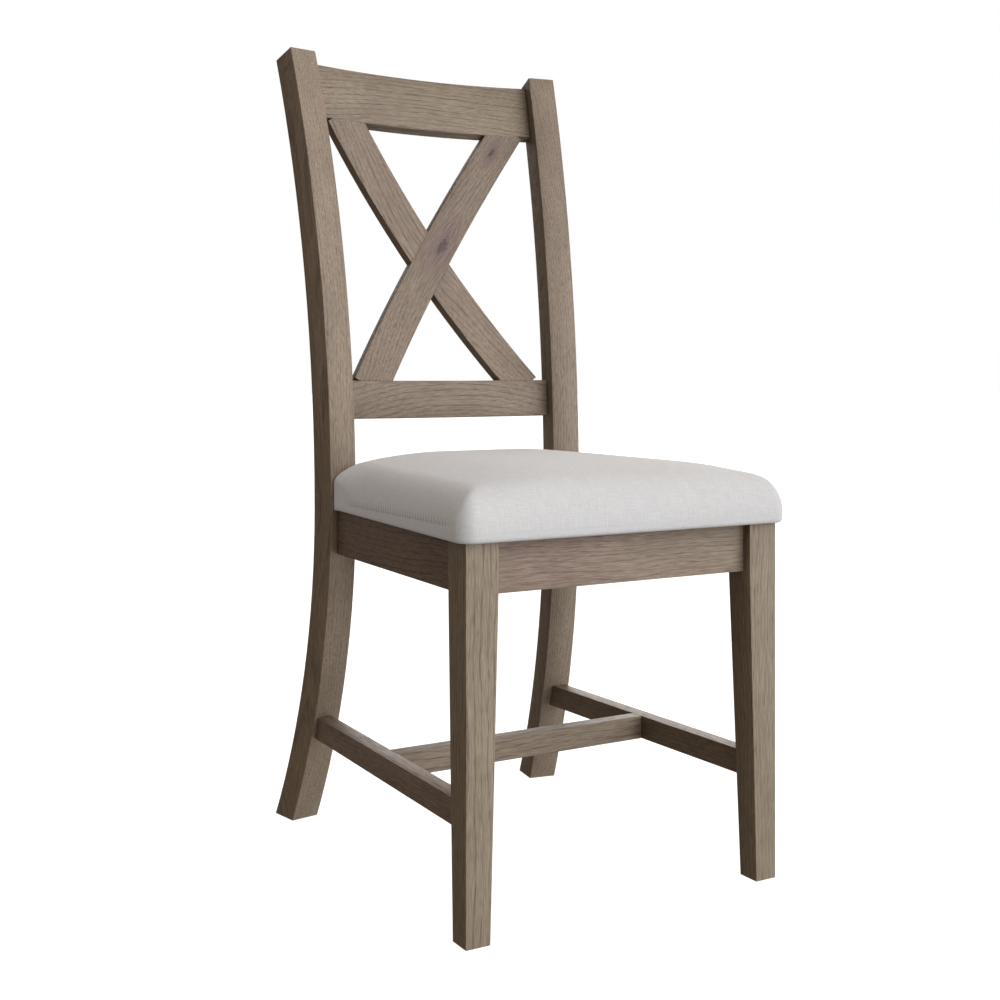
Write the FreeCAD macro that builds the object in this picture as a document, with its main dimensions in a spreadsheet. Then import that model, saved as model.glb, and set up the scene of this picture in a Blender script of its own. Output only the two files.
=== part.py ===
# Cross back dining chair with an upholstered seat pad, in millimetres.
# Origin on the floor under the middle of the chair, +Z up. The sitter faces -Y, and +X is on
# the right in a front view. "Left" is -X.
import FreeCAD, Part
import math
import os
import Sketcher

document = FreeCAD.newDocument("CrossBackChair")
sheet = document.addObject("Spreadsheet::Sheet", "Sizes")


class Size:
    """A number together with the sheet expression that gives it."""

    def __init__(self, number, text):
        self.number = number
        self.text = text

    def __add__(self, other):
        other = as_size(other)
        return Size(self.number + other.number, f"({self.text} + {other.text})")

    def __sub__(self, other):
        other = as_size(other)
        return Size(self.number - other.number, f"({self.text} - {other.text})")

    def __mul__(self, other):
        other = as_size(other)
        return Size(self.number * other.number, f"({self.text} * {other.text})")

    def __truediv__(self, other):
        other = as_size(other)
        return Size(self.number / other.number, f"({self.text} / {other.text})")

    def __neg__(self):
        return Size(-self.number, f"(0 - {self.text})")


class Angle(Size):
    """An angle: the number is in degrees and the expression carries the unit."""

    def __neg__(self):
        return Angle(-self.number, f"(0 deg - {self.text})")

    def __add__(self, other):
        return Angle(self.number + other.number, f"({self.text} + {other.text})")


def as_size(value):
    """Turn a plain number into a size; a size comes back as it is."""
    return value if isinstance(value, Size) else Size(float(value), f"{value:g}")


def root(value):
    return Size(math.sqrt(value.number), f"sqrt({value.text})")


def sine(angle):
    return Size(math.sin(math.radians(angle.number)), f"sin({angle.text})")


def cosine(angle):
    return Size(math.cos(math.radians(angle.number)), f"cos({angle.text})")


def arc_sine(ratio):
    return Angle(math.degrees(math.asin(ratio.number)), f"asin({ratio.text})")


def arc_tangent(ratio):
    return Angle(math.degrees(math.atan(ratio.number)), f"atan({ratio.text})")


sheet_rows = 0


def size(name, number):
    """Write one driving dimension into the sheet and return it."""
    global sheet_rows
    sheet_rows += 1
    sheet.set(f"A{sheet_rows}", name)
    sheet.set(f"B{sheet_rows}", f"{number}")
    sheet.setAlias(f"B{sheet_rows}", name)
    return Size(float(number), f"Sizes.{name}")


places = document.addObject("App::VarSet", "Places")


def hold(name, value):
    """Keep a worked-out size as a property of its own, and return it for use by that name."""
    places.addProperty("App::PropertyFloat", name)
    setattr(places, name, value.number)
    if isinstance(value, Angle):
        places.setExpression(name, f"{value.text} / 1 deg")
        return Angle(value.number, f"(Places.{name} * 1 deg)")
    places.setExpression(name, value.text)
    return Size(value.number, f"Places.{name}")


def angle(name, degrees):
    """Write one driving angle into the sheet and return it."""
    return Angle(float(degrees), f"({size(name, degrees).text} * 1 deg)")


# Legs and posts
leg_side = size("leg_side", 38)
leg_foot_side = size("leg_foot_side", 28.4)
front_width = size("front_width", 406)
post_side = size("post_side", 38)
post_spacing = size("post_spacing", 370.4)
post_setback = size("post_setback", 380.7)
post_height = size("post_height", 1003)
toe_in = angle("toe_in", 10)
knee_height = size("knee_height", 409.5)
back_radius = size("back_radius", 1913)
foot_radius = size("foot_radius", 978)

# Seat frame
frame_top = size("frame_top", 408.2)
seat_rail_height = size("seat_rail_height", 54.7)
seat_rail_thickness = size("seat_rail_thickness", 20)
front_rail_recess = size("front_rail_recess", 11.2)
side_rail_recess = size("side_rail_recess", 10)
rear_rail_recess = size("rear_rail_recess", 12)
block_height = size("block_height", 32)
block_drop = size("block_drop", 1)
block_reach = size("block_reach", 62)
block_relief = size("block_relief", 13)

# Stretchers
stretcher_level = size("stretcher_level", 114.2)
stretcher_height = size("stretcher_height", 28.5)
stretcher_thickness = size("stretcher_thickness", 19)
stretcher_recess = size("stretcher_recess", 6)
cross_stretcher_setback = size("cross_stretcher_setback", 219)

# Back rails
back_rail_thickness = size("back_rail_thickness", 19)
back_rail_recess = size("back_rail_recess", 18)
back_bow_radius = size("back_bow_radius", 1258)
crest_rail_height = size("crest_rail_height", 76)
crest_rail_drop = size("crest_rail_drop", 49.7)
lower_rail_height = size("lower_rail_height", 48.7)
lower_rail_level = size("lower_rail_level", 545.9)

# Cross braces
brace_width = size("brace_width", 48)
brace_thickness = size("brace_thickness", 15)
brace_bow = size("brace_bow", 19)
brace_reach_low = size("brace_reach_low", 109.7)
brace_reach_high = size("brace_reach_high", 121.5)
brace_dowel_diameter = size("brace_dowel_diameter", 6)
brace_dowel_length = size("brace_dowel_length", 24)

# Joinery
tenon_length = size("tenon_length", 10)
tenon_shoulder = size("tenon_shoulder", 5)
joint_clearance = size("joint_clearance", 0.15)
end_clearance = size("end_clearance", 1)
lap_clearance = size("lap_clearance", 0.3)
scribe_allowance = size("scribe_allowance", 6)

# Seat pad
pad_overhang = size("pad_overhang", 10.5)
pad_post_inset = size("pad_post_inset", 3.6)
pad_post_gap = size("pad_post_gap", 0.4)
pad_rear_reach = size("pad_rear_reach", 34)
pad_corner = size("pad_corner", 22)
pad_tuck = size("pad_tuck", 2)
pad_bulge_level = size("pad_bulge_level", 424)
pad_wall_top = size("pad_wall_top", 438)
pad_crown_top = size("pad_crown_top", 478.5)
pad_shoulder = size("pad_shoulder", 110)
pad_rear_ease = size("pad_rear_ease", 0.4)
cover_thickness = size("cover_thickness", 1.5)
cover_hem = size("cover_hem", 28)
board_thickness = size("board_thickness", 12)
soft_clearance = size("soft_clearance", 0.3)
dust_cover_thickness = size("dust_cover_thickness", 0.8)
dust_cover_hole = size("dust_cover_hole", 14)

# Screws
screw_diameter = size("screw_diameter", 4)
screw_head_diameter = size("screw_head_diameter", 8)
screw_head_height = size("screw_head_height", 2.4)
screw_clearance = size("screw_clearance", 0.2)
screw_grip = size("screw_grip", 12)
block_screw_bite = size("block_screw_bite", 14)
seat_screw_bite = size("seat_screw_bite", 9)
zero = as_size(0)
document.recompute()

# Places that follow from the sizes
half_front = hold("half_front", front_width / 2)
half_posts = hold("half_posts", post_spacing / 2)
half_rail = hold("half_rail", back_rail_thickness / 2)
toe_sine = hold("toe_sine", sine(toe_in))
toe_cosine = hold("toe_cosine", cosine(toe_in))
rail_underside = hold("rail_underside", frame_top - seat_rail_height)
rail_front_radius = hold("rail_front_radius", back_radius - back_rail_recess)
rail_middle_radius = hold("rail_middle_radius", rail_front_radius - half_rail)
bow_front_radius = hold("bow_front_radius", back_bow_radius - half_rail)


def rail_lean(name, level):
    """Lean of a back rail whose front face is centred at a height."""
    return hold(name + "_lean", arc_sine((level - knee_height) / rail_front_radius))


def rail_setback(name, lean):
    """How far the middle of a back rail is behind the knees of the posts."""
    return hold(name + "_setback", back_radius - rail_middle_radius * cosine(lean))


def bow_depth(name, setback):
    """How far the middle of a back rail is behind its ends, and its half span."""
    half_span = hold(name + "_half_span", half_posts - post_side * toe_cosine + setback * toe_sine)
    depth = back_bow_radius - root(back_bow_radius * back_bow_radius - half_span * half_span)
    return hold(name + "_bow", depth), half_span


crest_lean = rail_lean("crest", post_height - crest_rail_drop)
crest_setback = rail_setback("crest", crest_lean)
crest_bow, crest_half_span = bow_depth("crest", crest_setback)
lower_lean = rail_lean("lower", lower_rail_level)
lower_setback = rail_setback("lower", lower_lean)
lower_bow, lower_half_span = bow_depth("lower", lower_setback)
crest_back = (crest_bow + half_rail) * cosine(crest_lean) + crest_rail_height / 2 * sine(crest_lean)
crest_end = post_setback + post_side * toe_sine + crest_setback * toe_cosine
front_y = hold("front_y", -(crest_end + crest_back - pad_overhang) / 2)
post_y = hold("post_y", front_y + post_setback)
left, right = -1, 1


def bind(thing, prop, value):
    """Set a property from a size, by its expression."""
    setattr(thing, prop, value.number)
    thing.setExpression(prop, value.text)


def place(thing, x, y, z, yaw=zero, roll=zero):
    """Give an object its place; yaw turns it about Z, after roll about its own X."""
    turn = FreeCAD.Rotation(yaw.number, 0, roll.number)
    spot = FreeCAD.Vector(x.number, y.number, z.number)
    thing.Placement = FreeCAD.Placement(spot, turn)
    for axis, value in (("x", x), ("y", y), ("z", z)):
        thing.setExpression(f"Placement.Base.{axis}", value.text)
    if yaw.number:
        thing.setExpression("Placement.Rotation.Yaw", yaw.text)
    if roll.number:
        thing.setExpression("Placement.Rotation.Roll", roll.text)


def post_frame(side, across, back):
    """Plan point in a post's own frame: inward along its front face, and back from it."""
    x = (half_posts - across * toe_cosine + back * toe_sine) * side
    y = post_y + across * toe_sine + back * toe_cosine
    return x, y


def new_body(name):
    return document.addObject("PartDesign::Body", name)


def outline(body, name, plane, corners, arcs=None, lift=zero):
    """Closed sketch through the corners; arcs maps an edge's number to (radius, bulge side)."""
    arcs = arcs or {}
    sketch = body.newObject("Sketcher::SketchObject", name)
    support = [item for item in body.Origin.OriginFeatures if item.Role == plane][0]
    sketch.AttachmentSupport = [(support, "")]
    sketch.MapMode = "FlatFace"
    if lift is not zero:
        sketch.AttachmentOffset = FreeCAD.Placement(FreeCAD.Vector(0, 0, lift.number), FreeCAD.Rotation())
        sketch.setExpression("AttachmentOffset.Base.z", lift.text)
    count = len(corners)
    for index in range(count):
        start = FreeCAD.Vector(corners[index][0].number, corners[index][1].number, 0)
        end_corner = corners[(index + 1) % count]
        end = FreeCAD.Vector(end_corner[0].number, end_corner[1].number, 0)
        if index in arcs:
            radius, bulge = arcs[index]
            chord = end - start
            across = FreeCAD.Vector(-chord.y, chord.x, 0).normalize() * bulge
            rise = radius.number - math.sqrt(radius.number ** 2 - chord.Length ** 2 / 4)
            middle = (start + end) / 2 + across * rise
            sketch.addGeometry(Part.Arc(start, middle, end))
        else:
            sketch.addGeometry(Part.LineSegment(start, end))
    ends = [edge_ends(sketch, index, corners[index], index in arcs) for index in range(count)]
    for index in range(count):
        following = (index + 1) % count
        last, first = ends[index][1], ends[following][0]
        sketch.addConstraint(Sketcher.Constraint("Coincident", index, last, following, first))
    for index, corner in enumerate(corners):
        for letter, kind, value in (("x", "DistanceX", corner[0]), ("y", "DistanceY", corner[1])):
            constraint = Sketcher.Constraint(kind, index, ends[index][0], value.number)
            number = sketch.addConstraint(constraint)
            sketch.renameConstraint(number, f"{letter}{index}")
            sketch.setExpression(f".Constraints.{letter}{index}", value.text)
    for index, (radius, bulge) in arcs.items():
        number = sketch.addConstraint(Sketcher.Constraint("Radius", index, radius.number))
        sketch.renameConstraint(number, f"radius{index}")
        sketch.setExpression(f".Constraints.radius{index}", radius.text)
    return sketch


def edge_ends(sketch, index, corner, is_arc):
    """Which end of an edge lies on its first corner: an arc may be stored the other way round."""
    if not is_arc:
        return 1, 2
    start = sketch.getPoint(index, 1)
    near = abs(start.x - corner[0].number) + abs(start.y - corner[1].number) < 1e-6
    return (1, 2) if near else (2, 1)


def pad(body, sketch, length, name, symmetric=False, reverse=False):
    feature = body.newObject("PartDesign::Pad", name)
    feature.Profile = sketch
    bind(feature, "Length", length)
    feature.SideType = "Symmetric" if symmetric else "One side"
    feature.Reversed = reverse
    body.Tip = feature
    return feature


def box(name, length, width, height):
    thing = document.addObject("Part::Box", name)
    bind(thing, "Length", length)
    bind(thing, "Width", width)
    bind(thing, "Height", height)
    return thing


def cylinder(name, diameter, length):
    thing = document.addObject("Part::Cylinder", name)
    bind(thing, "Radius", diameter / 2)
    bind(thing, "Height", length)
    return thing


def drill(name, diameter, length):
    """Cutter for a small hidden hole: twelve flats around a round of this diameter."""
    flats = 12
    thing = document.addObject("Part::Prism", name)
    thing.Polygon = flats
    bind(thing, "Circumradius", diameter / 2 / cosine(Angle(180 / flats, f"{180 // flats} deg")))
    bind(thing, "Height", length)
    return thing


def fuse(name, pieces):
    thing = document.addObject("Part::MultiFuse", name)
    thing.Shapes = pieces
    thing.Refine = True
    return thing


def cut(name, base, tools):
    """Base less the tools, which may be one object or a list."""
    thing = document.addObject("Part::Cut", name)
    thing.Base = base
    thing.Tool = fuse(name + "_tools", tools) if len(tools) > 1 else tools[0]
    thing.Refine = True
    return thing


def common(name, first, second):
    thing = document.addObject("Part::Common", name)
    thing.Base = first
    thing.Tool = second
    return thing


# Blanks of the legs and posts, before their mortises

def leg_blank(side):
    """Square leg whose two inner faces taper from the seat rails down to the foot."""
    body = new_body("leg_blank_left" if side == left else "leg_blank_right")
    inward = as_size(-side)
    front = [
        (zero, zero),
        (inward * leg_foot_side, zero),
        (inward * leg_side, rail_underside),
        (inward * leg_side, frame_top),
        (zero, frame_top),
    ]
    profile = outline(body, body.Name + "_front", "XZ_Plane", front)
    pad(body, profile, leg_side, body.Name + "_pad", reverse=True)
    wedge = [(leg_foot_side, zero), (leg_side, zero), (leg_side, rail_underside)]
    profile = outline(body, body.Name + "_rear", "YZ_Plane", wedge)
    taper = body.newObject("PartDesign::Pocket", body.Name + "_taper")
    taper.Profile = profile
    bind(taper, "Length", leg_side * 4)
    taper.SideType = "Symmetric"
    body.Tip = taper
    place(body, as_size(side) * half_front, front_y, zero)
    return body


def post_blank(side):
    """Sawn post: upright at the knee, and curved back from it both ways on two radii."""
    body = new_body("post_blank_left" if side == left else "post_blank_right")
    top_rise = post_height - knee_height
    lean = arc_sine(top_rise / back_radius)
    inner_radius = back_radius - post_side
    inner_foot_radius = foot_radius - post_side
    foot_front = foot_radius - root(foot_radius * foot_radius - knee_height * knee_height)
    foot_rear = foot_radius - root(inner_foot_radius * inner_foot_radius - knee_height * knee_height)
    corners = [
        (foot_front, zero),
        (zero, knee_height),
        (back_radius - back_radius * cosine(lean), post_height),
        (back_radius - inner_radius * cosine(lean), knee_height + inner_radius * sine(lean)),
        (post_side, knee_height),
        (foot_rear, zero),
    ]
    arcs = {
        0: (foot_radius, 1),
        1: (back_radius, 1),
        3: (inner_radius, -1),
        4: (inner_foot_radius, -1),
    }
    profile = outline(body, body.Name + "_curve", "YZ_Plane", corners, arcs)
    pad(body, profile, post_side, body.Name + "_pad", reverse=(side == right))
    x, y = post_frame(side, zero, zero)
    place(body, x, y, zero, yaw=(toe_in if side == left else -toe_in))
    return body


leg_blanks = {side: leg_blank(side) for side in (left, right)}
post_blanks = {side: post_blank(side) for side in (left, right)}


# Straight rails and stretchers

def side_yaw(start, end):
    """Turn about Z of a bar that runs from its first plan point towards the back."""
    return Angle(90, "90 deg") + arc_tangent((start[0] - end[0]) / (end[1] - start[1]))


def bar(name, start, end, yaw, thickness, height, bottom, neighbours):
    """Bar between two plan points, scribed to its neighbours, with a stub tenon at each end.

    Returns the bar and the cutter that makes its two mortises.
    """
    run_x = end[0] - start[0]
    run_y = end[1] - start[1]
    run = hold(name + "_run", root(run_x * run_x + run_y * run_y))
    step_x = hold(name + "_step_x", run_x / run)
    step_y = hold(name + "_step_y", run_y / run)

    def strip(label, overrun, breadth, low, tall):
        thing = box(label, run + overrun * 2, breadth, tall)
        half = breadth / 2
        x = start[0] - step_x * overrun + step_y * half
        y = start[1] - step_y * overrun - step_x * half
        place(thing, x, y, low, yaw=yaw)
        return thing

    blank = strip(name + "_blank", scribe_allowance, thickness, bottom, height)
    tenon_breadth = thickness - tenon_shoulder * 2
    tenon_height = height - tenon_shoulder * 2
    tenon = strip(name + "_tenon", tenon_length, tenon_breadth, bottom + tenon_shoulder, tenon_height)
    mortise = strip(
        name + "_mortise",
        tenon_length + end_clearance,
        tenon_breadth + joint_clearance * 2,
        bottom + tenon_shoulder - joint_clearance,
        tenon_height + joint_clearance * 2,
    )
    scribed = cut(name + "_scribed", blank, neighbours)
    return fuse(name, [scribed, tenon]), mortise


front_rail_y = front_y + front_rail_recess + seat_rail_thickness / 2
leg_inner_x = half_front - leg_side
front_rail, front_mortises = bar(
    "front_rail_plain",
    (-leg_inner_x, front_rail_y),
    (leg_inner_x, front_rail_y),
    zero,
    seat_rail_thickness,
    seat_rail_height,
    rail_underside,
    [leg_blanks[left], leg_blanks[right]],
)
rear_rail_back = rear_rail_recess + seat_rail_thickness / 2
rear_rail_ends = [post_frame(side, post_side, rear_rail_back) for side in (left, right)]
rear_rail, rear_mortises = bar(
    "rear_rail_plain",
    rear_rail_ends[0],
    rear_rail_ends[1],
    zero,
    seat_rail_thickness,
    seat_rail_height,
    rail_underside,
    [post_blanks[left], post_blanks[right]],
)


def side_ends(side, recess, thickness, front_back, rear_back):
    """Centre line of a bar from a front leg to a post, recessed from their outer faces."""
    front_point = (as_size(side) * (half_front - recess - thickness / 2), front_y + front_back)
    return front_point, post_frame(side, recess + thickness / 2, rear_back)


def side_inner_x(recess, thickness, front_back, rear_back, y):
    """How far the inner face of a side bar is from the middle of the chair at a depth y."""
    front_point, rear_point = side_ends(right, recess, thickness, front_back, rear_back)
    slope = (rear_point[0] - front_point[0]) / (rear_point[1] - front_point[1])
    centre = front_point[0] + slope * (y - front_point[1])
    return centre - thickness / 2 * root(slope * slope + 1)


side_rail_shape = (side_rail_recess, seat_rail_thickness, leg_side, zero)
stretcher_middle = stretcher_level + stretcher_height / 2
stretcher_drop = knee_height - stretcher_middle
post_kick = foot_radius - root(foot_radius * foot_radius - stretcher_drop * stretcher_drop)
leg_taper = (leg_side - leg_foot_side) * (rail_underside - stretcher_middle) / rail_underside
stretcher_shape = (stretcher_recess, stretcher_thickness, leg_side - leg_taper, post_kick)
side_rails = {}
side_mortises = {}
stretchers = {}
stretcher_mortises = {}
for side, word in ((left, "left"), (right, "right")):
    neighbours = [leg_blanks[side], post_blanks[side]]
    rail_ends = side_ends(side, *side_rail_shape)
    stretcher_ends = side_ends(side, *stretcher_shape)
    side_rails[side], side_mortises[side] = bar(
        word + "_rail_plain",
        *rail_ends,
        side_yaw(*rail_ends),
        seat_rail_thickness,
        seat_rail_height,
        rail_underside,
        neighbours,
    )
    stretchers[side], stretcher_mortises[side] = bar(
        word + "_stretcher_plain",
        *stretcher_ends,
        side_yaw(*stretcher_ends),
        stretcher_thickness,
        stretcher_height,
        stretcher_level,
        neighbours,
    )

cross_y = front_y + cross_stretcher_setback + stretcher_thickness / 2
cross_x = side_inner_x(*stretcher_shape, cross_y)
cross_stretcher, cross_mortises = bar(
    "cross_stretcher",
    (-cross_x, cross_y),
    (cross_x, cross_y),
    zero,
    stretcher_thickness,
    stretcher_height,
    stretcher_level,
    [stretchers[left], stretchers[right]],
)


# Bowed rails of the back

class Tilt:
    """Upright frame in the middle plane of the chair, leaned back by an angle."""

    def __init__(self, y, z, lean):
        self.y = y
        self.z = z
        self.lean = lean

    def spot(self, back, up):
        """Y and Z of a point given by its distances back from and up along the frame."""
        y = self.y + back * cosine(self.lean) + up * sine(self.lean)
        z = self.z - back * sine(self.lean) + up * cosine(self.lean)
        return y, z

    def place(self, thing, x, back, up):
        y, z = self.spot(back, up)
        place(thing, x, y, z, roll=-self.lean)


def rail_frame(lean, setback):
    """Frame in the middle of a back rail's ends."""
    y = post_y + post_side * toe_sine + setback * toe_cosine
    return Tilt(y, knee_height + rail_middle_radius * sine(lean), lean)


def bowed_strip(name, frame, bow, half_span, breadth, height):
    """Strip along the bow, on the middle of the rail's thickness and height."""
    sweep = arc_sine(half_span / back_bow_radius)
    centre = bow - back_bow_radius
    inner = back_bow_radius - breadth / 2
    outer = back_bow_radius + breadth / 2
    corners = [
        (-inner * sine(sweep), centre + inner * cosine(sweep)),
        (inner * sine(sweep), centre + inner * cosine(sweep)),
        (outer * sine(sweep), centre + outer * cosine(sweep)),
        (-outer * sine(sweep), centre + outer * cosine(sweep)),
    ]
    body = new_body(name)
    profile = outline(body, name + "_plan", "XY_Plane", corners, {0: (inner, 1), 2: (outer, -1)})
    pad(body, profile, height, name + "_pad", symmetric=True)
    frame.place(body, zero, zero, zero)
    return body


def bowed_rail(name, frame, bow, half_span, height):
    """Bowed rail scribed between the posts with a tenon at each end, and its mortise cutter."""
    tenon_breadth = back_rail_thickness - tenon_shoulder * 2
    tenon_height = height - tenon_shoulder * 2
    reach = half_span + scribe_allowance
    blank = bowed_strip(name + "_blank", frame, bow, reach, back_rail_thickness, height)
    reach = half_span + tenon_length
    tenon = bowed_strip(name + "_tenon", frame, bow, reach, tenon_breadth, tenon_height)
    mortise = bowed_strip(
        name + "_mortise",
        frame,
        bow,
        reach + end_clearance,
        tenon_breadth + lap_clearance * 2,
        tenon_height + joint_clearance * 2,
    )
    scribed = cut(name + "_scribed", blank, [post_blanks[left], post_blanks[right]])
    return fuse(name + "_plain", [scribed, tenon]), mortise


crest_frame = rail_frame(crest_lean, crest_setback)
lower_frame = rail_frame(lower_lean, lower_setback)
crest_rail, crest_mortises = bowed_rail("crest", crest_frame, crest_bow, crest_half_span, crest_rail_height)
lower_rail, lower_mortises = bowed_rail("lower", lower_frame, lower_bow, lower_half_span, lower_rail_height)


# Cross braces: bowed backward between the rails and also around them, halved where they cross

low_y, low_z = lower_frame.spot(lower_bow - half_rail, lower_rail_height / 2)
high_y, high_z = crest_frame.spot(crest_bow - half_rail, -crest_rail_height / 2)
brace_rise = hold("brace_rise", high_z - low_z)
brace_run = hold("brace_run", high_y - low_y)
brace_lean = hold("brace_lean", arc_tangent(brace_run / brace_rise))
brace_y = hold("brace_y", (low_y + high_y) / 2)
brace_z = hold("brace_z", (low_z + high_z) / 2)
brace_frame = Tilt(brace_y, brace_z, brace_lean)
half_chord = hold("half_chord", root(brace_rise * brace_rise + brace_run * brace_run) / 2)
side_radius = hold("side_radius", (half_chord * half_chord + brace_bow * brace_bow) / brace_bow / 2)
brace_slant_x = brace_reach_low + brace_reach_high
brace_slant = hold("brace_slant", root(brace_slant_x * brace_slant_x + half_chord * half_chord * 4))
slant_x = hold("slant_x", brace_slant_x / brace_slant)
slant_z = hold("slant_z", half_chord * 2 / brace_slant)


def barrel(name, front_offset, rear_offset):
    """Doubly bowed shell between two depths behind the front faces of the back rails."""
    sweep = arc_sine((half_chord + scribe_allowance) / side_radius)
    centre = bow_front_radius + brace_bow - side_radius
    inner = side_radius + front_offset
    outer = side_radius + rear_offset
    corners = [
        (centre + inner * cosine(sweep), -inner * sine(sweep)),
        (centre + outer * cosine(sweep), -outer * sine(sweep)),
        (centre + outer * cosine(sweep), outer * sine(sweep)),
        (centre + inner * cosine(sweep), inner * sine(sweep)),
    ]
    body = new_body(name)
    profile = outline(body, name + "_side", "YZ_Plane", corners, {1: (outer, -1), 3: (inner, 1)})
    turned = body.newObject("PartDesign::Revolution", name + "_turned")
    turned.Profile = profile
    turned.ReferenceAxis = (profile, ["V_Axis"])
    turned.Midplane = True
    sweep_width = arc_sine((brace_reach_high + brace_width) / bow_front_radius)
    turned.setExpression("Angle", f"2 * {sweep_width.text}")
    body.Tip = turned
    brace_frame.place(body, zero, -bow_front_radius, zero)
    return body


def slanted_prism(name, side, width):
    """Straight bar along one diagonal of the back; side is the end it starts from below."""
    overrun = scribe_allowance * 2
    half = width / 2
    corners = []
    for along, across in ((-1, -1), (1, -1), (1, 1), (-1, 1)):
        end_x = brace_reach_high if along > 0 else -brace_reach_low
        x = end_x + slant_x * overrun * along - slant_z * half * across
        z = half_chord * along + slant_z * overrun * along + slant_x * half * across
        corners.append((x * -side, z))
    body = new_body(name)
    profile = outline(body, name + "_face", "XZ_Plane", corners)
    pad(body, profile, (brace_bow + brace_thickness + scribe_allowance) * 2, name + "_pad", symmetric=True)
    brace_frame.place(body, zero, zero, zero)
    return body


def rail_stop(name, frame, height):
    """Deep block as high as a back rail, that ends the braces on the rail's edge."""
    depth = (brace_bow + brace_thickness) * 4
    block = box(name, post_spacing, depth, height)
    frame.place(block, -half_posts, -depth / 2, -height / 2)
    return block


shell = barrel("brace_shell", zero, brace_thickness)
lap_middle = brace_thickness / 2
rear_half = barrel("lap_rear_half", lap_middle - lap_clearance / 2, brace_thickness + 1)
front_half = barrel("lap_front_half", zero - 1, lap_middle + lap_clearance / 2)
stops = [
    rail_stop("stop_below", lower_frame, lower_rail_height),
    rail_stop("stop_above", crest_frame, crest_rail_height),
]


def brace_dowels():
    """Dowels across the four ends of the braces, and the cutters for their holes."""
    pegs = []
    holes = []
    for along, reach in ((-1, brace_reach_low), (1, brace_reach_high)):
        sag = bow_front_radius - root(bow_front_radius * bow_front_radius - reach * reach)
        for side in (left, right):
            name = f"brace_dowel_{len(pegs) + 1}"
            peg = cylinder(name, brace_dowel_diameter, brace_dowel_length)
            middle = half_chord * along - brace_dowel_length / 2
            brace_frame.place(peg, reach * side, brace_thickness / 2 - sag, middle)
            hole_length = brace_dowel_length + end_clearance * 2
            hole = drill(name + "_hole", brace_dowel_diameter + lap_clearance * 2, hole_length)
            brace_frame.place(hole, reach * side, brace_thickness / 2 - sag, middle - end_clearance)
            pegs.append(peg)
            holes.append(hole)
    return pegs, holes


pegs, peg_holes = brace_dowels()


def brace(name, side, halved):
    """One brace: its diagonal of the shell, halved for the other brace, and ended by the rails."""
    prism = slanted_prism(name + "_prism", side, brace_width)
    other = slanted_prism(name + "_crossing", -side, brace_width + joint_clearance * 2)
    whole = common(name + "_whole", shell, prism)
    housing = common(name + "_housing", halved, other)
    return cut(name, whole, [housing, *stops, *peg_holes])


# Corner blocks and screws

def screw(name, x, y, z, bite, aim=None):
    """Screw through a block; the point is on the block's far face and the aim is its direction.

    Without an aim the screw goes upward. Returns the screw and the cutter for its way in.
    """
    def along(distance):
        if aim is None:
            return x, y, z + distance
        return x + sine(aim) * distance, y - cosine(aim) * distance, z

    def rod(make, label, diameter, length, start):
        thing = make(label, diameter, length)
        if aim is None:
            place(thing, *along(start))
        else:
            place(thing, *along(start), yaw=aim, roll=Angle(90, "90 deg"))
        return thing

    head_start = -screw_grip - screw_head_height
    way_length = screw_grip + bite + end_clearance
    gap = screw_clearance * 2
    shank = rod(cylinder, name + "_shank", screw_diameter, screw_grip + bite, -screw_grip)
    head = rod(cylinder, name + "_head", screw_head_diameter, screw_head_height, head_start)
    way = rod(drill, name + "_way", screw_diameter + gap, way_length, -screw_grip)
    sink = rod(drill, name + "_sink", screw_head_diameter + gap, block_reach, -screw_grip - block_reach)
    return fuse(name, [head, shank]), fuse(name + "_hole", [sink, way])


block_screws = []
seat_screws = []
seat_screw_holes = []
rail_cutters = {"front": [], "rear": [], left: [], right: []}
blocks = {}
block_bottom = frame_top - block_drop - block_height
screw_step = screw_head_diameter
front_face_y = front_rail_y + seat_rail_thickness / 2
rear_face_y = hold("rear_face_y", rear_rail_ends[0][1] - seat_rail_thickness / 2)
post_corner_x, post_corner_y = post_frame(right, post_side, zero)


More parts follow.
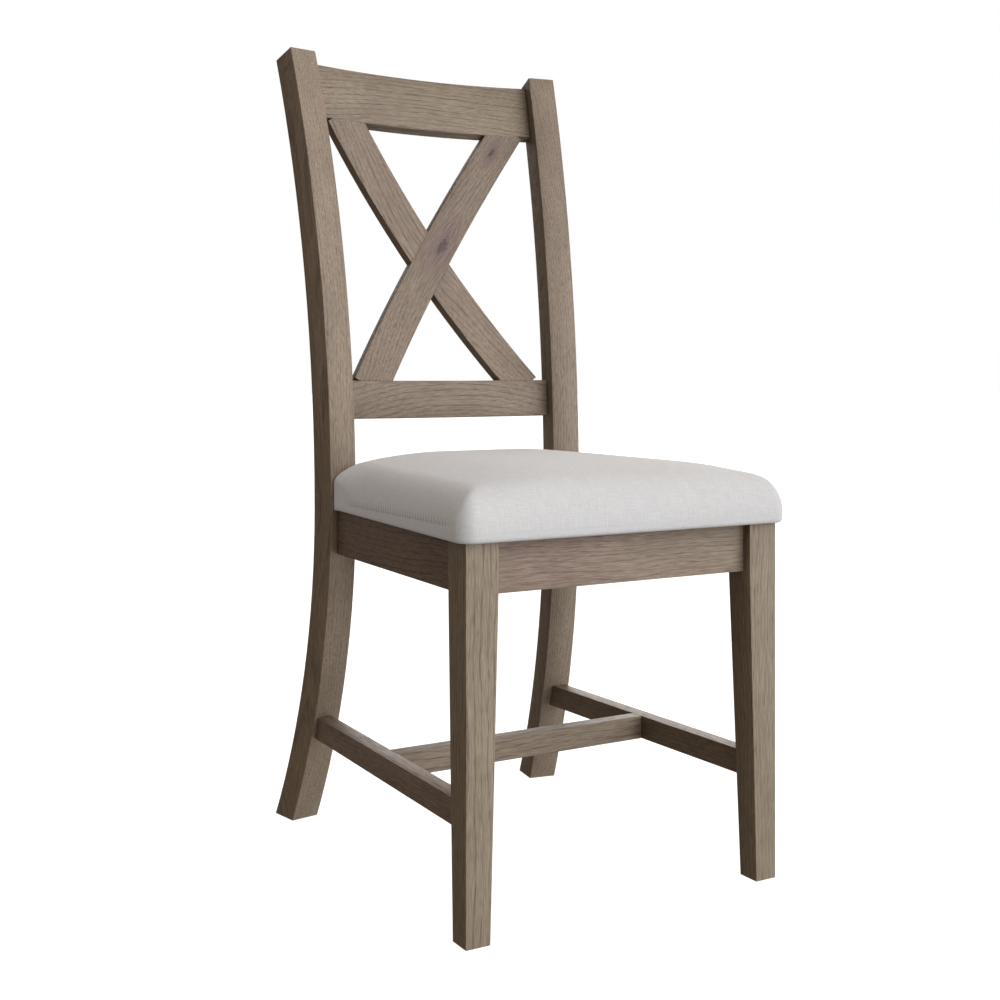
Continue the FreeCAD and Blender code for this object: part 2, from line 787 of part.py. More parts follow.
def corner_block(end, side, word):
    """Block across a corner of the seat frame, with a screw into each rail and one upward."""
    front = end == "front"
    into = 1 if front else -1
    corner_x = leg_inner_x if front else post_corner_x
    corner_y = front_y + leg_side if front else post_corner_y
    face_y = front_face_y if front else rear_face_y
    near_y = corner_y + block_relief * into
    far_y = corner_y + block_reach * into
    corners = [
        ((corner_x - block_relief) * side, face_y),
        ((corner_x - block_reach) * side, face_y),
        (side_inner_x(*side_rail_shape, far_y) * side, far_y),
        (side_inner_x(*side_rail_shape, near_y) * side, near_y),
    ]
    name = f"corner_block_{end}_{word}"
    body = new_body(name + "_plain")
    plan = outline(body, name + "_plan", "XY_Plane", corners, lift=block_bottom)
    pad(body, plan, block_height, name + "_pad")
    middle = block_bottom + block_height / 2
    half_reach = block_reach / 2
    turn = Angle(0, "0 deg") if front else Angle(180, "180 deg")
    across_x = (corner_x - half_reach) * side
    first, first_hole = screw(
        name + "_screw_across",
        across_x,
        face_y,
        middle + screw_step,
        block_screw_bite,
        turn,
    )
    side_y = corner_y + half_reach * into
    side_x = side_inner_x(*side_rail_shape, side_y) * side
    outward = 90 * side - 90
    turn = side_yaw(*side_ends(side, *side_rail_shape)) + Angle(outward, f"{outward} deg")
    second, second_hole = screw(
        name + "_screw_side",
        side_x,
        side_y,
        middle - screw_step,
        block_screw_bite,
        turn,
    )
    up_x = (corner_x - block_relief) * side
    up_level = frame_top - block_drop
    up_bite = block_drop + cover_thickness + seat_screw_bite
    third, third_hole = screw(name + "_screw_up", up_x, near_y, up_level, up_bite)
    block_screws.extend([first, second])
    seat_screws.append(third)
    seat_screw_holes.append(third_hole)
    rail_cutters[end].append(first_hole)
    rail_cutters[side].append(second_hole)
    blocks[name] = cut(name, body, [first_hole, second_hole, third_hole])
    return up_x, near_y


seat_screw_spots = []
for end in ("front", "rear"):
    for side, word in ((left, "left"), (right, "right")):
        seat_screw_spots.append(corner_block(end, side, word))


# Seat pad

corner_steps = 3
shoulder_steps = 5


def pad_outline(body, name, inset, level):
    """Plan of the pad, brought in by an inset, with rounded front corners and notched posts."""
    eased = inset * pad_rear_ease
    front_x = half_front + pad_overhang - inset
    front_edge = front_y - pad_overhang + inset
    half = []
    for step in range(corner_steps + 1):
        degrees = 90 * step / corner_steps
        turn = Angle(degrees, f"{degrees:g} deg")
        x = front_x - pad_corner * (as_size(1) - sine(turn))
        y = front_edge + pad_corner * (as_size(1) - cosine(turn))
        half.append((x, y))
    notch = post_side + pad_post_gap + inset
    half.append(post_frame(right, pad_post_inset + inset, -pad_post_gap - eased))
    half.append(post_frame(right, notch, -pad_post_gap - eased))
    half.append(post_frame(right, notch, pad_rear_reach - eased))
    mirrored = [(-x, y) for x, y in reversed(half)]
    return outline(body, name, "XY_Plane", half + mirrored, lift=level)


def pad_form(name, shell_inset, bottom):
    """Crowned body of the pad, brought in from the outside by an inset."""
    body = new_body(name)
    levels = [
        (pad_tuck + shell_inset, bottom),
        (shell_inset, pad_bulge_level),
    ]
    for step in range(shoulder_steps + 1):
        degrees = 90 * step / shoulder_steps
        turn = Angle(degrees, f"{degrees:g} deg")
        inset = shell_inset + pad_shoulder * (as_size(1) - cosine(turn))
        level = pad_wall_top + (pad_crown_top - pad_wall_top - shell_inset) * sine(turn)
        levels.append((inset, level))
    sections = []
    for number, (inset, level) in enumerate(levels):
        inset = hold(f"{name}_inset_{number + 1}", inset)
        sections.append(pad_outline(body, f"{name}_level_{number + 1}", inset, level))
    loft = body.newObject("PartDesign::AdditiveLoft", name + "_loft")
    loft.Profile = sections[0]
    loft.Sections = sections[1:]
    loft.Ruled = True
    body.Tip = loft
    return body


def pad_plate(name, inset, bottom, thickness):
    body = new_body(name)
    pad(body, pad_outline(body, name + "_plan", inset, bottom), thickness, name + "_pad")
    return body


board_bottom = frame_top + cover_thickness
board_top = board_bottom + board_thickness
cover_outside = pad_form("cover_outside", zero, frame_top)
cover_inside = pad_form("cover_inside", cover_thickness, board_bottom)
cover_window = pad_plate("cover_window", cover_hem, frame_top - 1, cover_thickness + 2)
seat_cover = cut("seat_cover", cover_outside, [cover_inside, cover_window])
seat_foam = pad_form("seat_foam", cover_thickness + soft_clearance, board_top)
board_inset = pad_tuck + cover_thickness + soft_clearance
board_plain = pad_plate("board_plain", board_inset, board_bottom, board_thickness)
seat_board = cut("seat_board", board_plain, seat_screw_holes)
dust_level = board_bottom - dust_cover_thickness
dust_plain = pad_plate("dust_cover_plain", cover_hem + soft_clearance, dust_level, dust_cover_thickness)
dust_holes = []
for x, y in seat_screw_spots:
    hole = drill(f"dust_cover_hole_{len(dust_holes) + 1}", dust_cover_hole, dust_cover_thickness + 2)
    place(hole, x, y, dust_level - 1)
    dust_holes.append(hole)
dust_cover = cut("dust_cover", dust_plain, dust_holes)


# Finished parts

def group(name, members):
    thing = document.addObject("Part::Compound", name)
    thing.Links = members
    return thing


rail_names = {left: "left_seat_rail", right: "right_seat_rail"}
finished = {
    "crest_rail": cut("crest_rail", crest_rail, peg_holes),
    "lower_back_rail": cut("lower_back_rail", lower_rail, peg_holes),
    "cross_brace_front": brace("cross_brace_front", left, rear_half),
    "cross_brace_rear": brace("cross_brace_rear", right, front_half),
    "front_seat_rail": cut("front_seat_rail", front_rail, rail_cutters["front"]),
    "rear_seat_rail": cut("rear_seat_rail", rear_rail, rail_cutters["rear"]),
    "left_seat_rail": cut("left_seat_rail", side_rails[left], rail_cutters[left]),
    "right_seat_rail": cut("right_seat_rail", side_rails[right], rail_cutters[right]),
    "left_stretcher": cut("left_stretcher", stretchers[left], [cross_mortises]),
    "right_stretcher": cut("right_stretcher", stretchers[right], [cross_mortises]),
    "cross_stretcher": cross_stretcher,
    "seat_cover": seat_cover,
    "seat_foam": seat_foam,
    "seat_board": seat_board,
    "dust_cover": dust_cover,
    "brace_dowels": group("brace_dowels", pegs),
    "block_screws": group("block_screws", block_screws),
    "seat_screws": group("seat_screws", seat_screws),
    **blocks,
}
for side, word in ((left, "left"), (right, "right")):
    leg_cutters = [front_mortises, side_mortises[side], stretcher_mortises[side]]
    post_cutters = [
        rear_mortises,
        side_mortises[side],
        stretcher_mortises[side],
        crest_mortises,
        lower_mortises,
    ]
    leg_name = f"front_leg_{word}"
    post_name = f"back_post_{word}"
    finished[leg_name] = cut(leg_name, leg_blanks[side], leg_cutters)
    finished[post_name] = cut(post_name, post_blanks[side], post_cutters)

document.recompute()
for thing in document.Objects:
    if "Invalid" in thing.State or "Error" in thing.State:
        raise RuntimeError(f"{thing.Label} did not build")
os.makedirs("parts", exist_ok=True)
for name, thing in finished.items():
    if thing.Shape.isNull() or not thing.Shape.isValid() or not thing.Shape.Solids:
        raise RuntimeError(f"{name} is not a sound solid")
    thing.Shape.exportStep(f"parts/{name}.step")
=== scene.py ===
import math

import bmesh
import bpy
import numpy as np
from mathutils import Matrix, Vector
from mathutils.kdtree import KDTree


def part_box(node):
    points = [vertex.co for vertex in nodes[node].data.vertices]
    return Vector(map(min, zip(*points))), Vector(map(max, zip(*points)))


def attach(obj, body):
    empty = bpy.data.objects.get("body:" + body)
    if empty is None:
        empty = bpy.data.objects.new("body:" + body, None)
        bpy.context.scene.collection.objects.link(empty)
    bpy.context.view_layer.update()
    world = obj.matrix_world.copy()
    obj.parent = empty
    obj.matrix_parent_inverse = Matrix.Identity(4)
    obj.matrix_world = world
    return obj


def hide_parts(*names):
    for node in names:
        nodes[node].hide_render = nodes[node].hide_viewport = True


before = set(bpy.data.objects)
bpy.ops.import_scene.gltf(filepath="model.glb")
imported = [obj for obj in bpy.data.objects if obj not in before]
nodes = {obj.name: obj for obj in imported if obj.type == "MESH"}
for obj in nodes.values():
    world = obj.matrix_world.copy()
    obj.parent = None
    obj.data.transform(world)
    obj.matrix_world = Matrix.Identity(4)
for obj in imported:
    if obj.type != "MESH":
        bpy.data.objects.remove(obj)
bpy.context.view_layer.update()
scene = bpy.context.scene


# Node helpers

class Graph:
    """Short ways to add nodes to one material."""

    def __init__(self, name):
        self.material = bpy.data.materials.new(name)
        self.material.use_nodes = True
        self.tree = self.material.node_tree
        self.tree.nodes.clear()
        self.output = self.tree.nodes.new("ShaderNodeOutputMaterial")
        self.shader = self.tree.nodes.new("ShaderNodeBsdfPrincipled")
        self.link(self.shader.outputs[0], self.output.inputs[0])

    def link(self, source, target):
        self.tree.links.new(source, target)

    def feed(self, value, socket):
        """Link an output to a socket, or set a plain number or colour on it."""
        if isinstance(value, bpy.types.NodeSocket):
            self.link(value, socket)
        else:
            socket.default_value = value

    def attribute(self, name, output):
        node = self.tree.nodes.new("ShaderNodeAttribute")
        node.attribute_name = name
        return node.outputs[output]

    def place(self):
        """Place on the piece, in metres."""
        return self.tree.nodes.new("ShaderNodeTexCoord").outputs["Object"]

    def facing(self):
        """Direction that the surface faces."""
        return self.tree.nodes.new("ShaderNodeNewGeometry").outputs["True Normal"]

    def math(self, operation, first, second=0.0, third=0.0, clamp=False):
        node = self.tree.nodes.new("ShaderNodeMath")
        node.operation = operation
        node.use_clamp = clamp
        for value, socket in zip((first, second, third), node.inputs):
            self.feed(value, socket)
        return node.outputs[0]

    def length(self, value):
        node = self.tree.nodes.new("ShaderNodeVectorMath")
        node.operation = "LENGTH"
        self.feed(value, node.inputs[0])
        return node.outputs["Value"]

    def split(self, value):
        node = self.tree.nodes.new("ShaderNodeSeparateXYZ")
        self.feed(value, node.inputs[0])
        return node.outputs[0], node.outputs[1], node.outputs[2]

    def join(self, x, y, z):
        node = self.tree.nodes.new("ShaderNodeCombineXYZ")
        for value, socket in zip((x, y, z), node.inputs):
            self.feed(value, socket)
        return node.outputs[0]

    def stretched(self, parts, scales):
        """The three parts of a place as one vector, each multiplied by its own scale."""
        return self.join(*(self.math("MULTIPLY", *pair) for pair in zip(parts, scales)))

    def noise(self, place, scale=1.0, detail=3.0, roughness=0.5):
        node = self.tree.nodes.new("ShaderNodeTexNoise")
        self.feed(place, node.inputs["Vector"])
        node.inputs["Scale"].default_value = scale
        node.inputs["Detail"].default_value = detail
        node.inputs["Roughness"].default_value = roughness
        return node.outputs[0]

    def remap(self, value, low, high, to_low=0.0, to_high=1.0):
        """The value's place between low and high, eased at both ends, between two new limits."""
        node = self.tree.nodes.new("ShaderNodeMapRange")
        node.interpolation_type = "SMOOTHSTEP"
        for number, socket in zip((value, low, high, to_low, to_high), node.inputs):
            self.feed(number, socket)
        return node.outputs[0]

    def mix(self, amount, first, second, blend="MIX"):
        node = self.tree.nodes.new("ShaderNodeMix")
        node.data_type = "RGBA"
        node.blend_type = blend
        self.feed(amount, node.inputs[0])
        self.feed(first, node.inputs[6])
        self.feed(second, node.inputs[7])
        return node.outputs[2]

    def bump(self, height, distance, strength):
        node = self.tree.nodes.new("ShaderNodeBump")
        node.inputs["Strength"].default_value = strength
        node.inputs["Distance"].default_value = distance
        self.feed(height, node.inputs["Height"])
        self.link(node.outputs[0], self.shader.inputs["Normal"])

    def finish(self, colour, roughness, specular=0.5):
        self.feed(colour, self.shader.inputs["Base Color"])
        self.feed(roughness, self.shader.inputs["Roughness"])
        self.shader.inputs["Specular IOR Level"].default_value = specular
        return self.material


def rgb(red, green, blue):
    return (red, green, blue, 1.0)


# Washed oak. The "grain" attribute is the place in the plank: X along the fibres, in metres.

PALE_GREY = rgb(0.268, 0.222, 0.163)
PALE_PINK = rgb(0.270, 0.202, 0.164)
DEEP_GREY = rgb(0.132, 0.102, 0.072)
DEEP_PINK = rgb(0.130, 0.088, 0.071)
EARLY_WOOD = rgb(0.098, 0.072, 0.055)
WHITEWASH = rgb(0.360, 0.306, 0.240)
OPEN_PORE = rgb(0.088, 0.063, 0.046)
KNOT_HALO = rgb(0.150, 0.096, 0.100)
KNOT_HEART = rgb(0.060, 0.036, 0.038)
# Painted shade: colour that darkens and warms the wood's faces that turn towards ±X
PAINTED_SIDE_SHADE = rgb(0.60, 0.54, 0.455)

# How often each mark of the grain repeats in a metre: along the fibres, across them and in depth
WANDER = (5.0, 16.0, 1.0)
SHIVER = (22.0, 60.0, 60.0)
DASHES = (34.0, 620.0, 620.0)
FIBRES = (55.0, 1150.0, 1150.0)
PORES = (55.0, 1000.0, 1000.0)
BANDS = (9.0, 210.0, 210.0)
CLOUDS = (7.0, 30.0, 30.0)

# How far the wander and the shiver move a ring, in metres
WANDER_REACH = 0.022
SHIVER_REACH = 0.0022


def knot_marks(g, place, knots):
    """Sideways push of the grain round the knots, and the shares of their halos and hearts."""
    along, across, depth = g.split(place)
    push = 0.0
    halo = 0.0
    heart = 0.0
    for knot_along, knot_across, knot_depth, radius in knots:
        aside = g.math("SUBTRACT", across, knot_across)
        ahead = g.math("SUBTRACT", along, knot_along)
        below = g.math("SUBTRACT", depth, knot_depth)
        away = g.length(g.stretched((ahead, aside, below), (0.42, 1.0, 0.12)))
        bulge = g.math("MULTIPLY", g.remap(away, radius * 2.6, 0.0), radius * 0.9)
        push = g.math("ADD", g.math("MULTIPLY", bulge, g.math("SIGN", aside)), push)
        ripple = g.math("SUBTRACT", g.noise(place, 260.0, 2.0, 0.6), 0.5)
        ragged = g.math("MULTIPLY_ADD", ripple, radius * 1.3, away)
        heart = g.math("MAXIMUM", g.remap(ragged, radius * 0.8, radius * 0.1), heart)
        halo = g.math("MAXIMUM", g.remap(ragged, radius * 2.4, radius * 0.5), halo)
    return push, halo, heart


def early_wood(g, parts, spacing, wave):
    """Share of the dark early wood, in rings about the plank's pith."""
    wander = g.math("SUBTRACT", g.noise(g.stretched(parts, WANDER), detail=2.0), 0.5)
    shiver = g.math("SUBTRACT", g.noise(g.stretched(parts, SHIVER), detail=2.0), 0.5)
    ring = g.length(g.join(0.0, parts[1], parts[2]))
    ring = g.math("MULTIPLY_ADD", wander, WANDER_REACH * wave, ring)
    ring = g.math("MULTIPLY_ADD", shiver, SHIVER_REACH, ring)
    rings = g.math("MULTIPLY", ring, 1.0 / spacing)
    uneven = g.noise(g.join(0.0, 0.0, g.math("MULTIPLY", rings, 0.45)), detail=1.0)
    phase = g.math("FRACT", g.math("MULTIPLY_ADD", uneven, 1.6, rings))
    return g.math("MULTIPLY", g.remap(phase, 0.0, 0.08), g.remap(phase, 0.36, 0.10))


def washed_oak(name, streaks, spacing=0.0042, wave=1.0, knots=()):
    """Grey-washed oak.

    streaks is how dark its early wood is, spacing the distance between its rings, and wave how
    far they wander. Each knot is (along, across, depth, radius) in the plank.
    """
    g = Graph(name)
    place = g.attribute("grain", "Vector")
    tone = g.attribute("tone", "Fac")
    darkness_and_painted_shade = g.attribute("darkness_and_painted_shade", "Fac")
    push, halo, heart = knot_marks(g, place, knots)
    along, across, depth = g.split(place)
    parts = (along, g.math("SUBTRACT", across, push), depth)
    early = early_wood(g, parts, spacing, wave)
    dash = g.remap(g.noise(g.stretched(parts, DASHES), detail=2.0), 0.38, 0.60, 0.45, 1.0)
    fibre = g.noise(g.stretched(parts, FIBRES), roughness=0.62)
    pores = g.noise(g.stretched(parts, PORES), detail=1.0, roughness=0.4)
    pores = g.remap(pores, 0.52, 0.64)
    band = g.noise(g.stretched(parts, BANDS), detail=2.0, roughness=0.55)
    cloud = g.noise(g.stretched(parts, CLOUDS), roughness=0.55)
    flecks = g.math("MULTIPLY", pores, g.math("MULTIPLY_ADD", early, 0.5, 0.45))
    lines = g.math("MULTIPLY", early, dash)
    lines = g.math("MULTIPLY", lines, g.remap(band, 0.3, 0.60, 0.25, 1.0))
    lines = g.math("MULTIPLY", lines, 0.85 * streaks, clamp=True)

    pale = g.mix(tone, PALE_GREY, PALE_PINK)
    deep = g.mix(tone, DEEP_GREY, DEEP_PINK)
    colour = g.mix(g.remap(cloud, 0.3, 0.72, 0.0, 0.40), pale, deep)
    colour = g.mix(lines, colour, EARLY_WOOD)
    colour = g.mix(g.remap(fibre, 0.42, 0.68, 0.0, 0.48), colour, deep)
    colour = g.mix(g.remap(fibre, 0.46, 0.30, 0.0, 0.42), colour, WHITEWASH)
    colour = g.mix(g.math("MULTIPLY", flecks, 0.60), colour, OPEN_PORE)
    colour = g.mix(g.math("MULTIPLY", halo, 0.6), colour, KNOT_HALO)
    colour = g.mix(g.math("MULTIPLY", heart, 0.85), colour, KNOT_HEART)
    # Painted shade: faces turned towards ±X are darkened, standing in for the dimmer light on the
    # chair's sides
    painted_side_shade_share = g.remap(g.math("ABSOLUTE", g.split(g.facing())[0]), 0.6, 0.9)
    colour = g.mix(painted_side_shade_share, colour, PAINTED_SIDE_SHADE, "MULTIPLY")
    # Painted shade: each piece's darkness factor partly stands in for how much light reaches it,
    # not only for the wood's own tone
    colour = g.mix(1.0, colour, g.join(darkness_and_painted_shade, darkness_and_painted_shade, darkness_and_painted_shade), "MULTIPLY")

    roughness = g.math("MULTIPLY_ADD", pores, 0.14, g.remap(fibre, 0.3, 0.7, 0.50, 0.60))
    height = g.math("MULTIPLY_ADD", flecks, -0.9, g.math("MULTIPLY", fibre, 0.5))
    height = g.math("MULTIPLY_ADD", early, -0.25, height)
    g.bump(height, 0.00022, 0.55)
    return g.finish(colour, roughness, 0.42)


# Materials of the hidden pieces

def plain_wood(name, pale, deep):
    """Unwashed wood for the blocks and dowels, with its grain along X."""
    g = Graph(name)
    parts = g.split(g.place())
    band = g.noise(g.stretched(parts, (14.0, 160.0, 160.0)), detail=4.0, roughness=0.6)
    fibre = g.noise(g.stretched(parts, (80.0, 1300.0, 1300.0)), detail=2.0)
    colour = g.mix(g.remap(band, 0.3, 0.7), pale, deep)
    colour = g.mix(g.remap(fibre, 0.5, 0.75, 0.0, 0.4), colour, deep)
    g.bump(fibre, 0.0002, 0.4)
    return g.finish(colour, g.remap(fibre, 0.3, 0.7, 0.6, 0.75), 0.3)


def plywood(name):
    """Birch plywood: grained faces, and plies 4 mm apart on the edges."""
    g = Graph(name)
    parts = g.split(g.place())
    band = g.noise(g.stretched(parts, (10.0, 90.0, 20.0)), detail=4.0, roughness=0.6)
    ply = g.math("FRACT", g.math("MULTIPLY", parts[2], 250.0))
    ply = g.math("GREATER_THAN", ply, 0.5)
    colour = g.mix(g.remap(band, 0.3, 0.7), rgb(0.58, 0.43, 0.27), rgb(0.42, 0.29, 0.17))
    colour = g.mix(g.math("MULTIPLY", ply, 0.25), colour, rgb(0.24, 0.15, 0.08))
    g.bump(band, 0.0002, 0.3)
    return g.finish(colour, 0.7, 0.3)


def screw_steel(name):
    """Yellow-zinc steel with a worn shine."""
    g = Graph(name)
    wear = g.noise(g.place(), 900.0, 3.0, 0.6)
    colour = g.mix(g.remap(wear, 0.4, 0.7), rgb(0.62, 0.58, 0.45), rgb(0.38, 0.35, 0.28))
    g.shader.inputs["Metallic"].default_value = 1.0
    g.bump(wear, 0.0001, 0.3)
    return g.finish(colour, g.remap(wear, 0.3, 0.7, 0.28, 0.45))


def dust_cloth(name):
    """Thin black spun cloth, pressed with a fine dimple pattern."""
    g = Graph(name)
    place = g.place()
    x, y, z = g.split(place)
    dimple_x = g.math("SINE", g.math("MULTIPLY", x, 3400.0))
    dimple_y = g.math("SINE", g.math("MULTIPLY", y, 3400.0))
    dimple = g.math("MULTIPLY", dimple_x, dimple_y)
    fluff = g.noise(place, 700.0, 3.0, 0.6)
    colour = g.mix(g.remap(fluff, 0.35, 0.7), rgb(0.020, 0.020, 0.021), rgb(0.045, 0.045, 0.047))
    g.bump(g.math("ADD", dimple, fluff), 0.0002, 0.5)
    return g.finish(colour, 0.85, 0.2)


# Linen

WARP_PITCH = 0.00105
WEFT_PITCH = 0.00095
THREAD_DEEP = rgb(0.505, 0.518, 0.535)
THREAD_PALE = rgb(0.600, 0.620, 0.640)
THREAD_WARM = rgb(0.535, 0.536, 0.545)
# Painted shade for the creases of the tucks and the groove of the stitched line
SEAM_PAINTED_SHADE = rgb(0.36, 0.285, 0.275)
SEAM_SLOPE = 0.0192
TUCK_PITCH = 0.0074
TUCK_TOP = 0.0095


def weave(g, first, second):
    """Height and tint of one flat sheet of weave, from its two directions."""
    drift = g.noise(g.join(first, second, 0.0), 90.0, 2.0)
    first = g.math("MULTIPLY_ADD", drift, 0.0011, first)
    second = g.math("MULTIPLY_ADD", drift, 0.0009, second)
    warp = g.math("SINE", g.math("MULTIPLY", first, 2 * math.pi / WARP_PITCH))
    weft = g.math("SINE", g.math("MULTIPLY", second, 2 * math.pi / WEFT_PITCH))
    crossing = g.math("MULTIPLY", warp, weft)
    slub_warp = g.stretched((first, second, 0.0), (950.0, 60.0, 1.0))
    slub_warp = g.noise(slub_warp, detail=2.0, roughness=0.6)
    slub_weft = g.stretched((first, second, 3.0), (60.0, 950.0, 1.0))
    slub_weft = g.noise(slub_weft, detail=2.0, roughness=0.6)
    slubs = g.math("MULTIPLY_ADD", slub_warp, 0.5, g.math("MULTIPLY", slub_weft, 0.5))
    return g.math("MULTIPLY_ADD", crossing, 0.28, g.math("MULTIPLY", slubs, 1.6)), slubs


def weighed(g, shares, values):
    """Sum of three values, each by its share."""
    total = g.math("MULTIPLY", shares[1], values[1])
    total = g.math("MULTIPLY_ADD", shares[0], values[0], total)
    return g.math("MULTIPLY_ADD", shares[2], values[2], total)


def seam_marks(g, place, on_side, seam_level, seam_from, seam_to):
    """Tucks and stitched line low on each side: where the tucks lie, their wave, and the line."""
    x, y, z = g.split(place)
    level = g.math("SUBTRACT", z, seam_level)
    level = g.math("MULTIPLY_ADD", g.math("SUBTRACT", y, seam_from), SEAM_SLOPE, level)
    above = g.remap(level, TUCK_TOP, 0.0020)
    band = g.math("MULTIPLY", above, g.remap(level, -0.0032, -0.0006))
    line = g.remap(g.math("ABSOLUTE", level), 0.0013, 0.0003)
    front_end = g.remap(y, seam_from, seam_from + 0.020)
    ends = g.math("MULTIPLY", front_end, g.remap(y, seam_to, seam_to - 0.030))
    ends = g.math("MULTIPLY", ends, g.remap(on_side, 0.35, 0.7))
    uneven = g.noise(g.join(0.0, g.math("MULTIPLY", y, 110.0), 0.0), detail=1.0)
    turn = g.math("MULTIPLY", y, 2 * math.pi / TUCK_PITCH)
    wave = g.math("SINE", g.math("MULTIPLY_ADD", uneven, 2.5, turn))
    return g.math("MULTIPLY", band, ends), wave, g.math("MULTIPLY", line, ends)


def linen(name, seam_level, seam_from, seam_to):
    """Off-white linen, its weave laid flat on the top and down each side."""
    g = Graph(name)
    place = g.place()
    x, y, z = g.split(place)
    faces = [g.math("POWER", g.math("ABSOLUTE", part), 4.0) for part in g.split(g.facing())]
    total = g.math("ADD", g.math("ADD", faces[0], faces[1]), faces[2])
    shares = [g.math("DIVIDE", face, total) for face in faces]
    heights, tints = zip(weave(g, y, z), weave(g, x, z), weave(g, x, y))
    height = weighed(g, shares, heights)
    tint = weighed(g, shares, tints)
    soft = g.noise(place, 45.0, 3.0, 0.55)
    tucks, wave, line = seam_marks(g, place, shares[0], seam_level, seam_from, seam_to)
    painted_fold_shade = g.math("MULTIPLY", tucks, g.remap(wave, -0.1, 0.9, 0.0, 0.7))

    colour = g.mix(g.remap(tint, 0.34, 0.66), THREAD_DEEP, THREAD_PALE)
    colour = g.mix(g.remap(soft, 0.3, 0.75, 0.0, 0.25), colour, THREAD_WARM)
    # Painted shade: the tucks are darkened in their folds and the stitched line in its groove,
    # where the bump below presses them in
    colour = g.mix(painted_fold_shade, colour, SEAM_PAINTED_SHADE)
    colour = g.mix(g.math("MULTIPLY", line, 0.35), colour, SEAM_PAINTED_SHADE)
    height = g.math("MULTIPLY_ADD", g.math("MULTIPLY", tucks, wave), -1.3, height)
    height = g.math("MULTIPLY_ADD", line, -1.0, height)
    g.bump(height, 0.00034, 0.45)
    g.shader.inputs["Sheen Weight"].default_value = 0.35
    g.shader.inputs["Sheen Roughness"].default_value = 0.5
    return g.finish(colour, 0.92, 0.18)


# Wooden pieces: each CAD solid with eased edges, its shading smoothed over its curves

EASING = 0.0009
SAME_PLACE = 1e-5
FLAT_ANGLE = math.radians(0.2)
SHARP_ANGLE = math.radians(28)


def eased(node_name):
    """New mesh in the shape of a CAD node, with its sharp edges rounded over."""
    mesh = nodes[node_name].data.copy()
    mesh.name = node_name + "_eased"
    work = bmesh.new()
    work.from_mesh(mesh)
    bmesh.ops.remove_doubles(work, verts=work.verts, dist=SAME_PLACE)
    bmesh.ops.dissolve_limit(work, angle_limit=FLAT_ANGLE, verts=work.verts, edges=work.edges)
    work.to_mesh(mesh)
    work.free()
    mesh.materials.clear()
    mesh.shade_smooth()
    piece = bpy.data.objects.new(node_name + "_wood", mesh)
    scene.collection.objects.link(piece)
    rounding = piece.modifiers.new("Eased", "BEVEL")
    rounding.width = EASING
    rounding.segments = 2
    rounding.limit_method = "ANGLE"
    rounding.angle_limit = SHARP_ANGLE
    rounding.harden_normals = True
    rounding.miter_outer = "MITER_ARC"
    graph = bpy.context.evaluated_depsgraph_get()
    finished = bpy.data.meshes.new_from_object(piece.evaluated_get(graph))
    piece.modifiers.clear()
    piece.data = finished
    return piece


def unit(x, y, z):
    return np.array(Vector((x, y, z)).normalized())


def vertex_places(mesh):
    places = np.empty(len(mesh.vertices) * 3)
    mesh.vertices.foreach_get("co", places)
    return places.reshape(-1, 3)


def set_grain(mesh, along, up, pith, offset, tone, darkness_and_painted_shade, bow):
    """Store each point's place in its plank, its tone, and its darkness, which is partly the
    piece's own and partly painted shade.

    The plank runs along one direction with its width towards up. pith is how far the piece's
    middle is from the plank's pith, across and in depth. offset keeps two pieces apart in the
    pattern, tone runs from one end of the piece to the other, and bow arches the grain.
    """
    points = vertex_places(mesh)
    centre = (points.min(0) + points.max(0)) / 2
    along = along / np.linalg.norm(along)
    across = up - along * (up @ along)
    across = across / np.linalg.norm(across)
    depth = np.cross(along, across)
    local = (points - centre) @ np.stack([along, across, depth]).T
    local[:, 1] += bow * local[:, 0] ** 2
    local = local + np.array([offset, pith[0], pith[1]])
    grain = mesh.attributes.new("grain", "FLOAT_VECTOR", "POINT")
    grain.data.foreach_set("vector", local.astype(np.float32).ravel())
    run = (points - centre) @ along
    tones = np.interp(run, (run.min(), run.max()), tone)
    for name, values in (("tone", tones), ("darkness_and_painted_shade", np.full(len(points), darkness_and_painted_shade))):
        stored = mesh.attributes.new(name, "FLOAT", "POINT")
        stored.data.foreach_set("value", values.astype(np.float32))


oak = washed_oak("washed_oak", 0.8)
streaked = washed_oak("washed_oak_streaked", 1.1, 0.0054, 0.6)
arched = washed_oak("washed_oak_arched", 1.05, 0.0064, 0.8)
brace_knots = ((0.022, 0.096, 0.045, 0.0125), (0.178, 0.092, 0.045, 0.006))
knotty = washed_oak("washed_oak_knotty", 1.1, 0.0046, 0.8, brace_knots)
upright = unit(0, 0, 1)
sideways = unit(1, 0, 0)
backward = unit(0, 1, 0)
rail_run = unit(1, 0, 0.03)
rise = unit(0.2312, 0.0571, 0.3443)
fall = unit(-0.2312, 0.0571, 0.3443)
STRAIGHT_BOW = 0.08
ARCHED_BOW = 0.7
